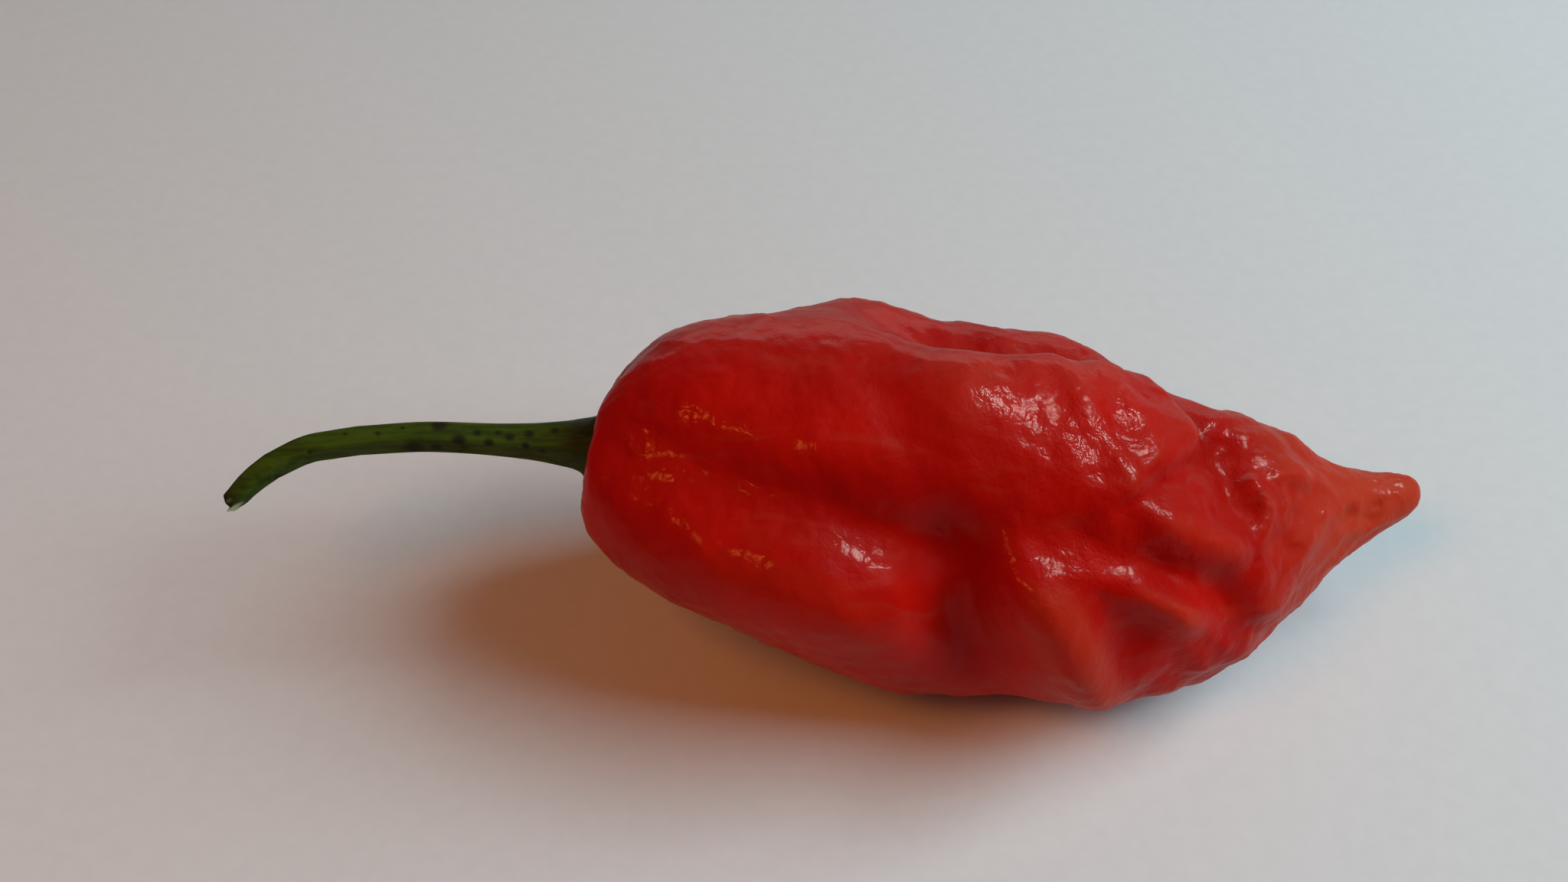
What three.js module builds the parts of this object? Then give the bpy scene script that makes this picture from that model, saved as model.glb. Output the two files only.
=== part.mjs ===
// Wrinkled red chilli pepper lying on its side, with its stem.
// Millimetres, +Z up, X runs from the stem to the tip, and -Y is the side that shows.
// The origin is near the middle of the small flat spot that the pod rests on, at the height of the surface.
// A place on the pod is given by x, in millimetres toward the tip, and by an angle round it,
// in degrees: 0 is straight up, 90 faces -Y, 180 is underneath and -90 faces +Y.

import * as THREE from 'three';

// How finely each piece is divided
const POD_STATIONS = 86;
const POD_STEPS_ROUND = 64;
const STEM_STATIONS = 48;
const STEM_STEPS_ROUND = 20;

// Pod: the line through its middle as x, y, z
const POD_SPINE = [
  [-28, 1.6, 17.3], [-20, 1.2, 16.1], [-12, 0.6, 14.4], [-4, 0.2, 12.8], [4, 0, 12.3],
  [12, -0.8, 11.2], [19, -1.4, 9.7], [26, 0.6, 9.3], [32, 2.4, 9.4], [37, 3.4, 10],
];

// Pod: x and radius, from the bottom of the stem's hollow over the shoulder to the tip
const POD_OUTLINE = [
  [-23.8, 0], [-23.9, 1.6], [-24.4, 2.8], [-25.6, 3.4], [-26.4, 4], [-26.75, 4.9], [-26.2, 6.4],
  [-23.8, 8.2], [-20, 10], [-14, 11.8], [-7, 13.3], [0, 13.5], [8, 13], [14, 11.6], [20, 9.2],
  [25, 6.5], [29, 4], [32.5, 2.5], [35.2, 1.6], [36.2, 0.9], [36.4, 0],
];
const SHOULDER = 6;
const POD_DEPTH = 1.06;
const POD_HEIGHT = 0.95;

// Pod: lobes and ridges (positive height) and valleys (negative), each a soft stroke
// of a given width along a path of x, angle and height
const STROKES = [
  { name: 'upper lobe', width: 5, path: [
    [-24, -10, 0.4], [-18, -20, 0.7], [-10, -24, 0.8], [-3, -16, 0.8], [3, -10, 0.9], [8, -15, 1.3],
    [12, -17, 0.8]] },
  { name: 'hump of the upper lobe', width: 3, path: [[-1, 6, 1]] },
  { name: 'bulge above the mid valley', width: 2, path: [[-2.5, 27, 0.6]] },
  { name: 'hollow behind the upper lobe', width: 2.6, path: [
    [-9, -34, 0], [-5, -32, -1.3], [-1, -27, -2.8], [4, -28, -3], [9, -36, -2.2], [13, -43, -1]] },
  { name: 'far lobe', width: 3.2, path: [
    [-12, -60, 0.2], [-6.5, -54, 2], [-3, -50, 0.3], [3, -46, -0.2], [7.5, -48, 0.8], [10.4, -50, 1.1]] },
  { name: 'trimmed shoulder', width: 4.5, path: [[-27.5, -36, -2.4]] },
  { name: 'mid valley', width: 4, path: [
    [-24, 37, -0.8], [-18, 41, -1.3], [-12, 41, -1.6], [-6, 39, -2.2], [-1, 41, -2.3], [4, 44, -2.4],
    [9, 46, -2]] },
  { name: 'end of the mid valley', width: 2.2, path: [[9, 45, -1.2], [13, 45, -1.6], [16.5, 48, -1.4]] },
  { name: 'lower lobe', width: 5.5, path: [
    [-24, 92, 1.6], [-19, 84, 1.2], [-14, 72, 2], [-10, 64, 3], [-6.8, 67, 1.9]] },
  { name: 'cross valley', width: 2.8, path: [
    [-1.6, 46, -1], [-0.8, 60, -2.2], [0.2, 78, -2.8], [1.8, 98, -1.8], [3, 112, -0.5]] },
  { name: 'slanting ridge', width: 2.3, path: [
    [1.6, 50, 1], [3.2, 57, 2.1], [4.8, 68, 2.5], [6.5, 82, 2.4], [8.3, 98, 2], [9.6, 112, 1.2]] },
  { name: 'groove beside the slanting ridge', width: 1.8, path: [
    [7, 54, -0.7], [8, 62, -1.1], [9.4, 74, -0.8], [10.6, 88, -0.4]] },
  { name: 'ridge over the panel', width: 1.6, path: [
    [8, 55, 0.9], [10, 57, 1.4], [12, 59, 1.6], [14.4, 62, 1.8], [16, 66, 1.2]] },
  { name: 'ridge past the panel', width: 2.2, path: [
    [15.4, 69, 0.9], [15.8, 80, 1], [15, 94, 0.8], [13.6, 112, 0.6]] },
  { name: 'valley before the tail', width: 1.8, path: [[18.8, 50, -1.2], [18.9, 64, -1], [18.6, 78, -0.4]] },
  { name: 'ridge under the nose', width: 2, path: [
    [10.5, 27, 0.4], [13.5, 32, 1.2], [16.2, 38, 1.5], [18.2, 43, 1.3], [20.2, 50, 1], [20.4, 62, 0.8],
    [20, 76, 0.6]] },
  { name: 'far lobe of the tail', width: 3.2, path: [
    [19, -38, 0.8], [22, -36, 1.6], [26, -27, 0.9], [29, -20, 0.1]] },
  { name: 'dip past the nose', width: 1.8, path: [
    [19.6, -12, -0.7], [19.8, 0, -1], [19.6, 12, -1], [19.6, 22, -0.5]] },
  { name: 'tail wrinkle, lengthwise', width: 1, path: [[19.5, -7, 0.45], [22, -6, 0.6], [25, -3, 0.5]] },
  { name: 'tail wrinkle, near the nose', width: 0.8, path: [
    [20.9, 4, 0.6], [21.5, 13, 0.8], [21.5, 28, 0.8], [21, 36, 0.4]] },
  { name: 'tail wrinkle, over the top', width: 0.8, path: [[22.4, 5, 0.5], [24, 4, 0.8], [25.8, 5, 0.5]] },
  { name: 'tail wrinkle, down the side', width: 0.8, path: [
    [23.3, 12, 0.6], [23.3, 22, 0.8], [23, 30, 0.3]] },
  { name: 'band on the tail', width: 1.6, path: [[26, 40, 0.6], [23.6, 58, 0.8], [22, 72, 0.6]] },
  { name: 'first dimple of the tip', width: 0.8, path: [[29.8, 38, -0.5]] },
  { name: 'second dimple of the tip', width: 0.8, path: [[31.5, 48, -0.5]] },
  { name: 'belly', width: 6, path: [[-10, 180, 0.7], [-2, 180, 0.5]] },
  { name: 'edge of the underside', width: 6, path: [[-8, 122, 0.4], [4, 124, 0.6], [10, 118, 0.5]] },
  { name: 'back valley', width: 4, path: [
    [-23, -90, -0.8], [-12, -90, -1.6], [-2, -94, -1.8], [8, -98, -1.6], [14, -96, -0.8]] },
  { name: 'low back valley', width: 4, path: [
    [-22, -138, -0.8], [-10, -142, -1.5], [2, -142, -1.7], [12, -138, -1]] },
  { name: 'back cross valley', width: 2.4, path: [
    [3.5, -66, -0.6], [4.5, -82, -1.6], [4, -104, -1.6], [2, -124, -0.6]] },
  { name: 'back ridge', width: 2.6, path: [[9, -66, 0.8], [10, -84, 1.6], [9, -104, 1.5], [8, -124, 0.5]] },
  { name: 'back valley before the tail', width: 1.8, path: [
    [16, -62, -0.6], [17, -84, -1.3], [16.5, -110, -1.3], [15.5, -130, -0.5]] },
  { name: 'back ridge of the tail', width: 2, path: [[20.5, -72, 0.4], [21, -92, 1], [21, -118, 0.8]] },
];

// Pod: the upper lobe ends in a nose that stands over the tail.
// Each row is an angle, the x of the nose's edge there and half the step down
const NOSE = [
  [-50, 13, 0], [-36, 14.2, 0.6], [-24, 15.6, 1], [-12, 17, 1.3], [-4, 17.1, 1.4],
  [4, 16.2, 1.2], [13, 14.4, 0.9], [24, 12, 0.6], [34, 9.4, 0.3], [46, 6, 0],
];
const NOSE_EDGE = 0.9;
const NOSE_REACH = 3.2;

// Pod: single dimples (negative height) and bumps as x, angle, height and width
const BUMPS = [
  [19.3, 14, -0.55, 1.3], [19.4, -14, -0.35, 1.1], [17.9, 46, -0.35, 1.2], [20, 45, -0.4, 0.9],
  [23.7, 12, -0.4, 0.6], [23.6, 44, -0.3, 0.9], [20.8, 7, 0.3, 0.6], [21.1, 19, 0.25, 0.6],
  [18.5, 3, 0.25, 0.6], [18.7, -24, 0.3, 0.7], [21, -19, 0.3, 0.7], [16.2, 24, 0.25, 0.6],
  [17.4, 22, 0.2, 0.5], [31.4, 28, -0.3, 0.55], [32.3, 38, -0.35, 0.55], [30.5, 12, 0.2, 0.6],
  [27, 30, 0.2, 0.6], [28.9, 33, 0.2, 0.5], [20.5, 84, 0.2, 0.6], [18.6, 82, 0.25, 0.6],
  [26.5, 60, -0.25, 1.2], [25.5, -8, -0.3, 1],
];

// Pod: slow waves of the skin as height, waves per millimetre of length (radians), waves round and phase
const WAVES = [
  [0.11, 0.34, 4, 0.3], [0.1, -0.5, 7, 1.7], [0.09, 0.75, -6, 2.9],
  [0.07, 1.15, 10, 4.1], [0.06, 0.3, 13, 5.2], [0.06, -1.4, 11, 0.9],
];

// Pod: how each wave bends, as size, waves per millimetre, waves round and share of the wave's phase
const WAVE_BENDS = [[1.3, 0.31, -2, 1], [0.9, 0.17, 3, 2]];

// Pod: the waves are lower near the stem and where the pod is thin
const WAVE_MEAN = 0.65;
const WAVE_CHANGE = 0.35;
const WAVE_CHANGE_X = 2;
const WAVE_CHANGE_SPAN = 6;
const WAVE_FULL_RADIUS = 9;

// Pod: the relief fades out in the stem's hollow and at the very tip
const HOLLOW_EDGE = 3.2;
const HOLLOW_FADE = 3;
const TIP_FADE = 2;

// Stem and calyx: the line through the middle as x, y, z
const STEM_SPINE = [
  [-53.8, -1.6, 14.8], [-50.5, 0, 16.3], [-48, 1.3, 17.1], [-44, 1.8, 17.8],
  [-39, 1.9, 18.1], [-33, 1.75, 17.9], [-28, 1.6, 17.6], [-23.8, 1.4, 16.8],
];

// Stem and calyx: x and radius, from the torn end along the stem and round the calyx
const STEM_OUTLINE = [
  [-53.1, 0], [-53.3, 0.35], [-53.55, 0.6], [-53.45, 0.72], [-53, 0.76], [-51, 0.84], [-48, 0.95],
  [-44, 1.03], [-39, 1.08], [-34.5, 1.14], [-31, 1.35], [-28.8, 1.68], [-27.6, 2], [-26.8, 2.3],
  [-26, 2.55], [-25.2, 2.5], [-24.8, 2.15], [-24.4, 1.35], [-24.3, 0],
];

// Stem: flat sides with rounded edges between them, which fade into the round calyx
const STEM_SIDES = 5;
const STEM_EDGE_AT = 56;
const STEM_EDGE_SHARPNESS = 10;
const STEM_MEAN = 0.95;
const CALYX_X = -27;
const CALYX_BLEND = 3;

// Calyx: a short tooth on each edge of the stem
const TOOTH_LENGTH = 0.6;
const TOOTH_SPREAD = 0.5;
const TOOTH_X = -26.6;

// Torn end: fibres that stand out of its rim and lean inward, as angle, width in degrees and length
const TORN_FIBRES = [[150, 26, 0.55], [96, 20, 0.9], [30, 30, 0.25], [262, 34, 0.35]];
const TORN_X = -52.9;
const TORN_BLEND = 0.3;
const FIBRE_RADIUS = 0.8;
const FIBRE_LEAN = 0.45;

const HALF_TURN = 180;
const RADIANS = Math.PI / HALF_TURN;
const OUTLINE_SAMPLES = 2000;
const BLOB_SPACING = 0.7;
const SLOPE_STEP = 0.05;

// Curves through points

// value of a smooth curve through the rows at a fractional row number
function smoothRow(rows, at) {
  const last = rows.length - 1;
  const i = Math.min(Math.max(Math.floor(at), 0), last - 1);
  const f = at - i;
  const row = (k) => rows[Math.min(Math.max(k, 0), last)];
  return rows[0].map((_, c) => {
    const [a, b, d, e] = [row(i - 1)[c], row(i)[c], row(i + 1)[c], row(i + 2)[c]];
    const bowed = 2 * a - 5 * b + 4 * d - e;
    const twisted = 3 * b - a - 3 * d + e;
    return 0.5 * (2 * b + (d - a) * f + bowed * f ** 2 + twisted * f ** 3);
  });
}

// fractional position of a value in a rising list
function positionIn(list, value) {
  if (value <= list[0]) return 0;
  for (let i = 1; i < list.length; i += 1) {
    if (value <= list[i]) return i - 1 + (value - list[i - 1]) / (list[i] - list[i - 1]);
  }
  return list.length - 1;
}

// the rows' smooth curve read at a value of their first column
function rowAt(rows, first) {
  return smoothRow(rows, positionIn(rows.map((row) => row[0]), first));
}

function runningLengths(points, distance) {
  const lengths = [0];
  for (let i = 1; i < points.length; i += 1) {
    lengths.push(lengths[i - 1] + distance(points[i - 1], points[i]));
  }
  return lengths;
}

// stations spaced evenly along an outline, each with x, radius and length from its start
function evenStations(outline, count) {
  const fine = [];
  for (let k = 0; k <= OUTLINE_SAMPLES; k += 1) {
    fine.push(smoothRow(outline, (k / OUTLINE_SAMPLES) * (outline.length - 1)));
  }
  const lengths = runningLengths(fine, (p, q) => Math.hypot(q[0] - p[0], q[1] - p[1]));
  const total = lengths[lengths.length - 1];
  const stations = [];
  for (let k = 0; k < count; k += 1) {
    const along = (total * k) / (count - 1);
    const at = positionIn(lengths, along);
    const i = Math.min(Math.floor(at), fine.length - 2);
    const mix = (c) => fine[i][c] + (fine[i + 1][c] - fine[i][c]) * (at - i);
    stations.push({ x: mix(0), radius: Math.max(mix(1), 0), along });
  }
  return stations;
}

// Relief of the pod

function girthAt(x) {
  const rows = POD_OUTLINE.slice(SHOULDER);
  const at = positionIn(rows.map((row) => row[0]), x);
  const i = Math.min(Math.floor(at), rows.length - 2);
  return rows[i][1] + (rows[i + 1][1] - rows[i][1]) * (at - i);
}

// a stroke as a row of soft blobs, which add up to its height
function blobsOf(stroke) {
  const path = stroke.path;
  if (path.length === 1) return path;
  const lengths = runningLengths(path, (p, q) => {
    const round = (q[1] - p[1]) * RADIANS * 0.5 * (girthAt(p[0]) + girthAt(q[0]));
    return Math.hypot(q[0] - p[0], round);
  });
  const total = lengths[lengths.length - 1];
  const count = Math.max(2, Math.ceil(total / (BLOB_SPACING * stroke.width)) + 1);
  const share = total / (count - 1) / (stroke.width * Math.sqrt(Math.PI));
  const blobs = [];
  for (let k = 0; k < count; k += 1) {
    const [x, angle, height] = smoothRow(path, positionIn(lengths, (total * k) / (count - 1)));
    blobs.push([x, angle, height * share]);
  }
  return blobs;
}

const BLOBS = STROKES.map((stroke) => ({ width: stroke.width, blobs: blobsOf(stroke) }));

function between(angle) {
  return ((((angle + HALF_TURN) % 360) + 360) % 360) - HALF_TURN;
}

function strokeHeight(x, angle, radius) {
  const perDegree = Math.max(radius, 1) * RADIANS;
  let height = 0;
  for (const { width, blobs } of BLOBS) {
    for (const [blobX, blobAngle, blobHeight] of blobs) {
      const round = between(angle - blobAngle) * perDegree;
      height += blobHeight * Math.exp(-((x - blobX) ** 2 + round * round) / width ** 2);
    }
  }
  return height;
}

function bumpHeight(x, angle, radius) {
  const perDegree = Math.max(radius, 1) * RADIANS;
  let height = 0;
  for (const [bumpX, bumpAngle, bump, width] of BUMPS) {
    const round = between(angle - bumpAngle) * perDegree;
    height += bump * Math.exp(-((x - bumpX) ** 2 + round * round) / width ** 2);
  }
  return height;
}

function noseHeight(x, angle) {
  const turned = between(angle);
  if (turned <= NOSE[0][0] || turned >= NOSE[NOSE.length - 1][0]) return 0;
  const [, edge, half] = rowAt(NOSE, turned);
  const inside = edge - x;
  return half * Math.tanh(inside / NOSE_EDGE) * Math.exp(-Math.abs(inside) / NOSE_REACH);
}

function waveHeight(x, angle, radius) {
  const turn = angle * RADIANS;
  let height = 0;
  for (const [size, lengthwise, round, phase] of WAVES) {
    let bend = 0;
    for (const [bendSize, bendLengthwise, bendRound, share] of WAVE_BENDS) {
      bend += bendSize * Math.sin(bendLengthwise * x + bendRound * turn + share * phase);
    }
    height += size * Math.sin(lengthwise * x + round * turn + phase + bend);
  }
  const girthShare = Math.min(radius / WAVE_FULL_RADIUS, 1);
  return height * girthShare * (WAVE_MEAN + WAVE_CHANGE * Math.tanh((x - WAVE_CHANGE_X) / WAVE_CHANGE_SPAN));
}

function smoothStep(value) {
  const t = Math.min(Math.max(value, 0), 1);
  return t * t * (3 - 2 * t);
}

function reliefFade({ x, radius, along }) {
  const atStem = x < 0 ? smoothStep((along - HOLLOW_EDGE) / HOLLOW_FADE) : 1;
  return atStem * Math.min(radius / TIP_FADE, 1);
}

// Closed surfaces made of rings between two end points

function closedSurface(rings) {
  const sides = rings[1].length;
  const positions = [...rings[0][0]];
  const middle = rings.slice(1, -1);
  middle.forEach((ring) => ring.forEach((point) => positions.push(...point)));
  positions.push(...rings[rings.length - 1][0]);
  const at = (ring, side) => 1 + ring * sides + (side % sides);
  const end = positions.length / 3 - 1;
  const index = [];
  for (let j = 0; j < sides; j += 1) {
    index.push(0, at(0, j + 1), at(0, j));
    for (let i = 0; i < middle.length - 1; i += 1) {
      index.push(at(i, j), at(i, j + 1), at(i + 1, j + 1));
      index.push(at(i, j), at(i + 1, j + 1), at(i + 1, j));
    }
    index.push(at(middle.length - 1, j), at(middle.length - 1, j + 1), end);
  }
  const geometry = new THREE.BufferGeometry();
  geometry.setAttribute('position', new THREE.Float32BufferAttribute(positions, 3));
  geometry.setIndex(index);
  geometry.computeVertexNormals();
  return geometry;
}

// Pod

function podGeometry() {
  const stations = evenStations(POD_OUTLINE, POD_STATIONS);
  const rings = stations.map((station, i) => {
    const before = stations[Math.max(i - 1, 0)];
    const after = stations[Math.min(i + 1, POD_STATIONS - 1)];
    const run = Math.hypot(after.x - before.x, after.radius - before.radius);
    const outX = -(after.radius - before.radius) / run;
    const outRadius = (after.x - before.x) / run;
    const [, middleY, middleZ] = rowAt(POD_SPINE, station.x);
    const fade = reliefFade(station);
    const ring = [];
    for (let j = 0; j < POD_STEPS_ROUND; j += 1) {
      const angle = (360 * j) / POD_STEPS_ROUND;
      const relief = strokeHeight(station.x, angle, station.radius)
        + bumpHeight(station.x, angle, station.radius)
        + noseHeight(station.x, angle)
        + waveHeight(station.x, angle, station.radius);
      const height = fade * relief;
      const radius = station.radius + outRadius * height;
      ring.push([
        station.x + outX * height,
        middleY - POD_DEPTH * radius * Math.sin(angle * RADIANS),
        Math.max(middleZ + POD_HEIGHT * radius * Math.cos(angle * RADIANS), 0),
      ]);
    }
    return ring;
  });
  return closedSurface(rings);
}

function makePod() {
  const skin = new THREE.MeshStandardMaterial({ color: 0x9c1108, roughness: 0.32, metalness: 0 });
  const pod = new THREE.Mesh(podGeometry(), skin);
  pod.name = 'pod';
  return pod;
}

// Stem and calyx, one grown piece

// the stem's section at x: its middle and the directions ahead, up and to the side that shows
function stemSection(x) {
  const [, y, z] = rowAt(STEM_SPINE, x);
  const [, beforeY, beforeZ] = rowAt(STEM_SPINE, x - SLOPE_STEP);
  const [, afterY, afterZ] = rowAt(STEM_SPINE, x + SLOPE_STEP);
  const ahead = new THREE.Vector3(2 * SLOPE_STEP, afterY - beforeY, afterZ - beforeZ).normalize();
  const up = new THREE.Vector3(0, 0, 1).addScaledVector(ahead, -ahead.z).normalize();
  const side = new THREE.Vector3().crossVectors(ahead, up);
  return { middle: new THREE.Vector3(x, y, z), ahead, up, side };
}

// how far the flat sides and rounded edges stand out at an angle, against a circle
function stemSide(angle) {
  let facing = 0;
  for (let k = 0; k < STEM_SIDES; k += 1) {
    const middle = STEM_EDGE_AT + ((k + 0.5) * 360) / STEM_SIDES;
    facing += Math.max(Math.cos((angle - middle) * RADIANS), 0) ** STEM_EDGE_SHARPNESS;
  }
  return STEM_MEAN * facing ** (-1 / STEM_EDGE_SHARPNESS);
}

function toothHeight(x, angle) {
  const edges = 0.5 + 0.5 * Math.cos(STEM_SIDES * (angle - STEM_EDGE_AT) * RADIANS);
  return TOOTH_LENGTH * edges ** 2 * Math.exp(-(((x - TOOTH_X) / TOOTH_SPREAD) ** 2));
}

// how far the torn fibres stand out of the end
function fibreReach({ x, radius }, angle) {
  let reach = 0;
  for (const [fibreAngle, width, length] of TORN_FIBRES) {
    reach += length * Math.exp(-((between(angle - fibreAngle) / width) ** 2));
  }
  const atRim = Math.min(radius / FIBRE_RADIUS, 1) ** 3;
  return reach * smoothStep((TORN_X - x) / TORN_BLEND) * atRim;
}

function stemPoint(station, section, angle) {
  const alongStem = smoothStep((CALYX_X - station.x) / CALYX_BLEND);
  const side = 1 + alongStem * (stemSide(angle) - 1);
  const reach = fibreReach(station, angle);
  const lean = 1 - FIBRE_LEAN * Math.min(reach, 1);
  const radius = lean * (station.radius * side + toothHeight(station.x, angle));
  return section.middle.clone()
    .addScaledVector(section.up, radius * Math.cos(angle * RADIANS))
    .addScaledVector(section.side, radius * Math.sin(angle * RADIANS))
    .addScaledVector(section.ahead, -reach)
    .toArray();
}

function stemGeometry() {
  const rings = evenStations(STEM_OUTLINE, STEM_STATIONS).map((station) => {
    const section = stemSection(station.x);
    const ring = [];
    for (let j = 0; j < STEM_STEPS_ROUND; j += 1) {
      ring.push(stemPoint(station, section, (360 * j) / STEM_STEPS_ROUND));
    }
    return ring;
  });
  return closedSurface(rings);
}

function makeStem() {
  const rind = new THREE.MeshStandardMaterial({ color: 0x4b5426, roughness: 0.55, metalness: 0 });
  const stem = new THREE.Mesh(stemGeometry(), rind);
  stem.name = 'stem_and_calyx';
  return stem;
}

const chilli = new THREE.Group();
chilli.name = 'chilli_pepper';
chilli.add(makePod(), makeStem());

export default chilli;
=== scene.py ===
"""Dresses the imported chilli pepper: its wrinkled red pod and green stem, on a pale floor in soft light."""

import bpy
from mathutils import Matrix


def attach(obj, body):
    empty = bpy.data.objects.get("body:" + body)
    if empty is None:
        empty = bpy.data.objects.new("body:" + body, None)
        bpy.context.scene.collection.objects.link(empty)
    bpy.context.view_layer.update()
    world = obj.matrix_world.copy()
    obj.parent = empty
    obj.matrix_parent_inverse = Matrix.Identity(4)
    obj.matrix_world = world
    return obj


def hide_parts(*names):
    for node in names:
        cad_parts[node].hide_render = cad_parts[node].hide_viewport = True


bl_info = {
    "name": "Chilli Pepper",
    "version": (1, 0, 0),
    "blender": (4, 5, 0),
    "location": "View3D > Sidebar > Chilli",
    "description": "Wrinkled red chilli pepper with its stem, on a pale surface in soft light",
    "category": "Object",
}

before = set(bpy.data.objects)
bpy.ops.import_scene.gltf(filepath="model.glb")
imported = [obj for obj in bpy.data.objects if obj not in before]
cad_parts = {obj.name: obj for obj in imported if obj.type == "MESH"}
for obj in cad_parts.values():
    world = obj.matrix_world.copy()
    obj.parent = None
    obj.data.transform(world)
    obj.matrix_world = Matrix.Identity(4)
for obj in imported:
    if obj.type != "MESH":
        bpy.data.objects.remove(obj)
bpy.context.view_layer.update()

import math

import bmesh
import bpy
import numpy as np
from bpy.props import FloatProperty, FloatVectorProperty, IntProperty, PointerProperty
from mathutils import Vector, noise

BODY = "root"
MM = 0.001

# A place on the pod is given by x, in millimetres toward the tip, and by an angle round it in degrees:
# 0 is straight up, 90 faces -Y, 180 is underneath and -90 faces +Y.

# Pod: the line through its middle as x, y, z
POD_SPINE = [
    (-28, 1.6, 17.3), (-20, 1.2, 16.1), (-12, 0.6, 14.4), (-4, 0.2, 12.8), (4, 0, 12.3),
    (12, -0.8, 11.2), (19, -1.4, 9.7), (26, 0.6, 9.3), (32, 2.4, 9.4), (37, 3.4, 10),
]

# Pod: x and radius, from the bottom of the stem's hollow over the shoulder to the tip
POD_OUTLINE = [
    (-23.8, 0), (-23.9, 1.6), (-24.4, 2.8), (-25.6, 3.4), (-26.4, 4), (-26.75, 4.9), (-26.2, 6.4),
    (-23.8, 8.2), (-20, 10), (-14, 11.8), (-7, 13.3), (0, 13.5), (8, 13), (14, 11.6), (20, 9.2),
    (25, 6.5), (29, 4), (32.5, 2.5), (35.2, 1.6), (36.2, 0.9), (36.4, 0),
]
SHOULDER = 6
POD_DEPTH = 1.06
POD_HEIGHT = 0.95

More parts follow.
